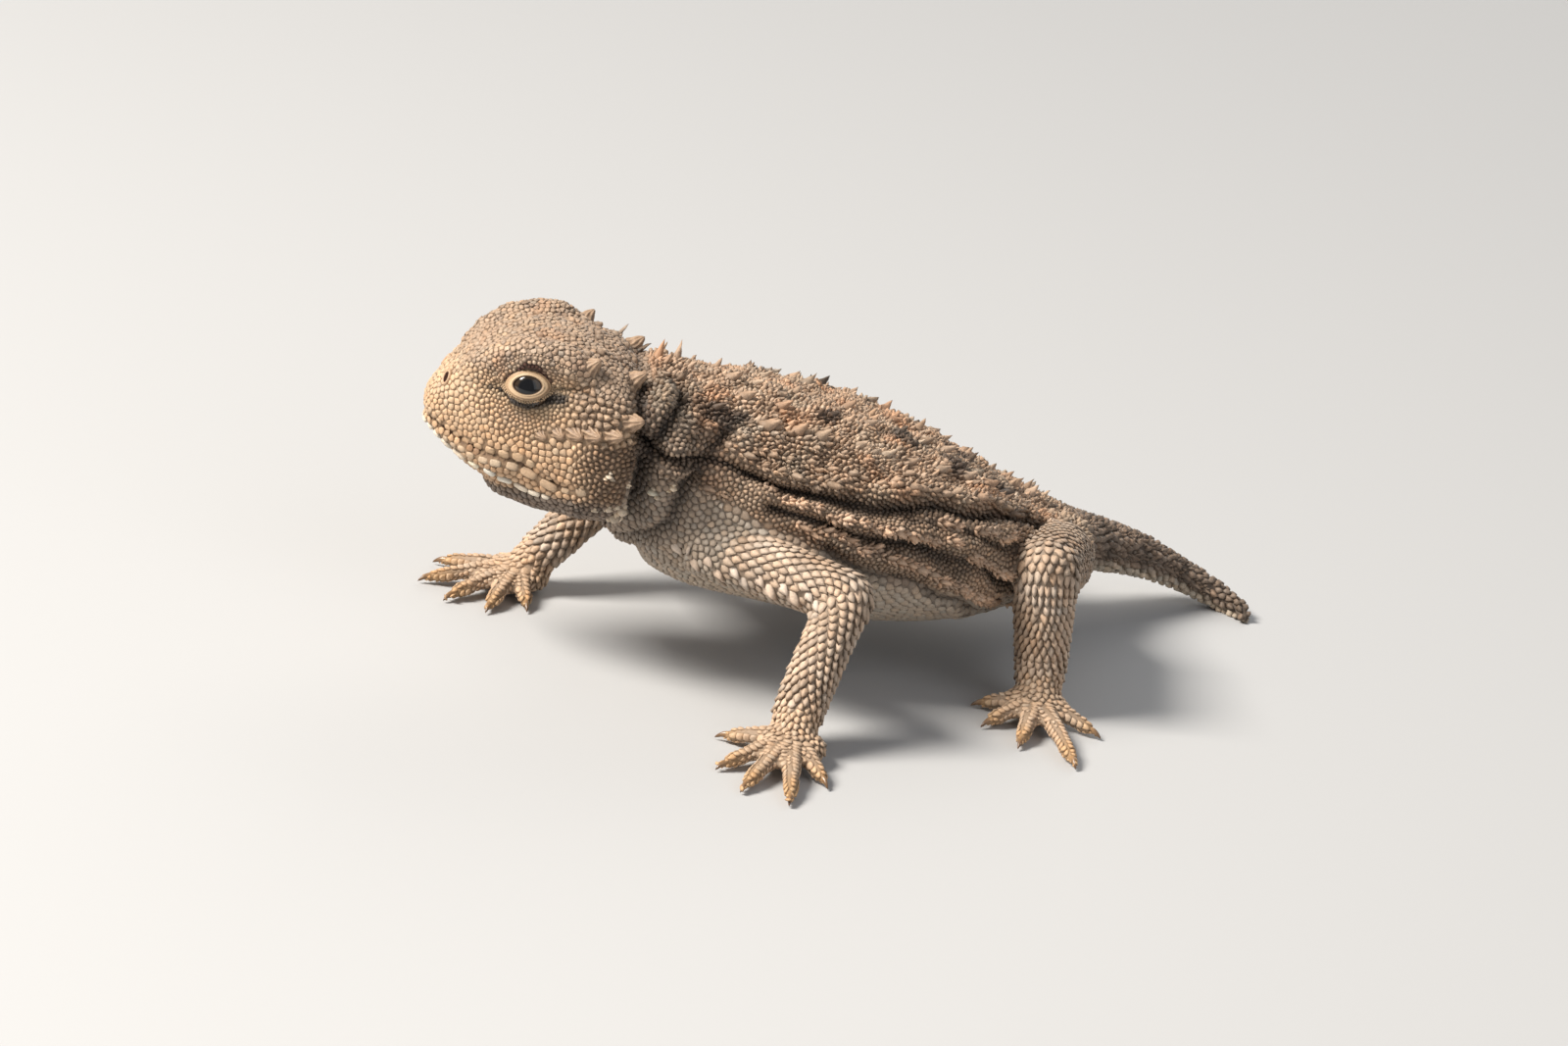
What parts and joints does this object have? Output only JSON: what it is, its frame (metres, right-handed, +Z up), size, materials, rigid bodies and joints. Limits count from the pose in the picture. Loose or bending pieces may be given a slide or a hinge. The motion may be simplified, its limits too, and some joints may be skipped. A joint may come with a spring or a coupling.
{
  "type": "horned lizard",
  "caption": "Life-size short-horned lizard standing alert on four feet, head turned to its right, spiny back and fringed flanks, short tail on the floor.",
  "frame": {"origin": "on the floor, under the middle of the animal's bounding box", "axes": "+Z up, the animal faces -Y, its left side towards +X"},
  "size_m": [0.0436, 0.0646, 0.0209],
  "materials": {
    "skin": "dry, finely scaled, matte",
    "digits": "ringed scales, satin",
    "horn": "dull horn",
    "eye": "wet gloss"
  },
  "bodies": {
    "root": {"head": "skin", "neck": "skin", "torso": "skin", "tail_base": "skin", "tail_tip": "skin", "upper_arm_left": "skin", "forearm_left": "skin", "hand_left": "digits", "upper_arm_right": "skin", "forearm_right": "skin", "hand_right": "digits", "thigh_left": "skin", "shin_left": "skin", "foot_left": "digits", "thigh_right": "skin", "shin_right": "skin", "foot_right": "digits", "eye_left": "eye", "eye_right": "eye", "horn_brow_left": "horn", "horn_brow_right": "horn", "horn_occipital_left": "horn", "horn_occipital_right": "horn", "horn_temporal_1_left": "horn", "horn_temporal_1_right": "horn", "horn_temporal_2_left": "horn", "horn_temporal_2_right": "horn", "horn_temporal_3_left": "horn", "horn_temporal_3_right": "horn"}
  },
  "joints": []
}
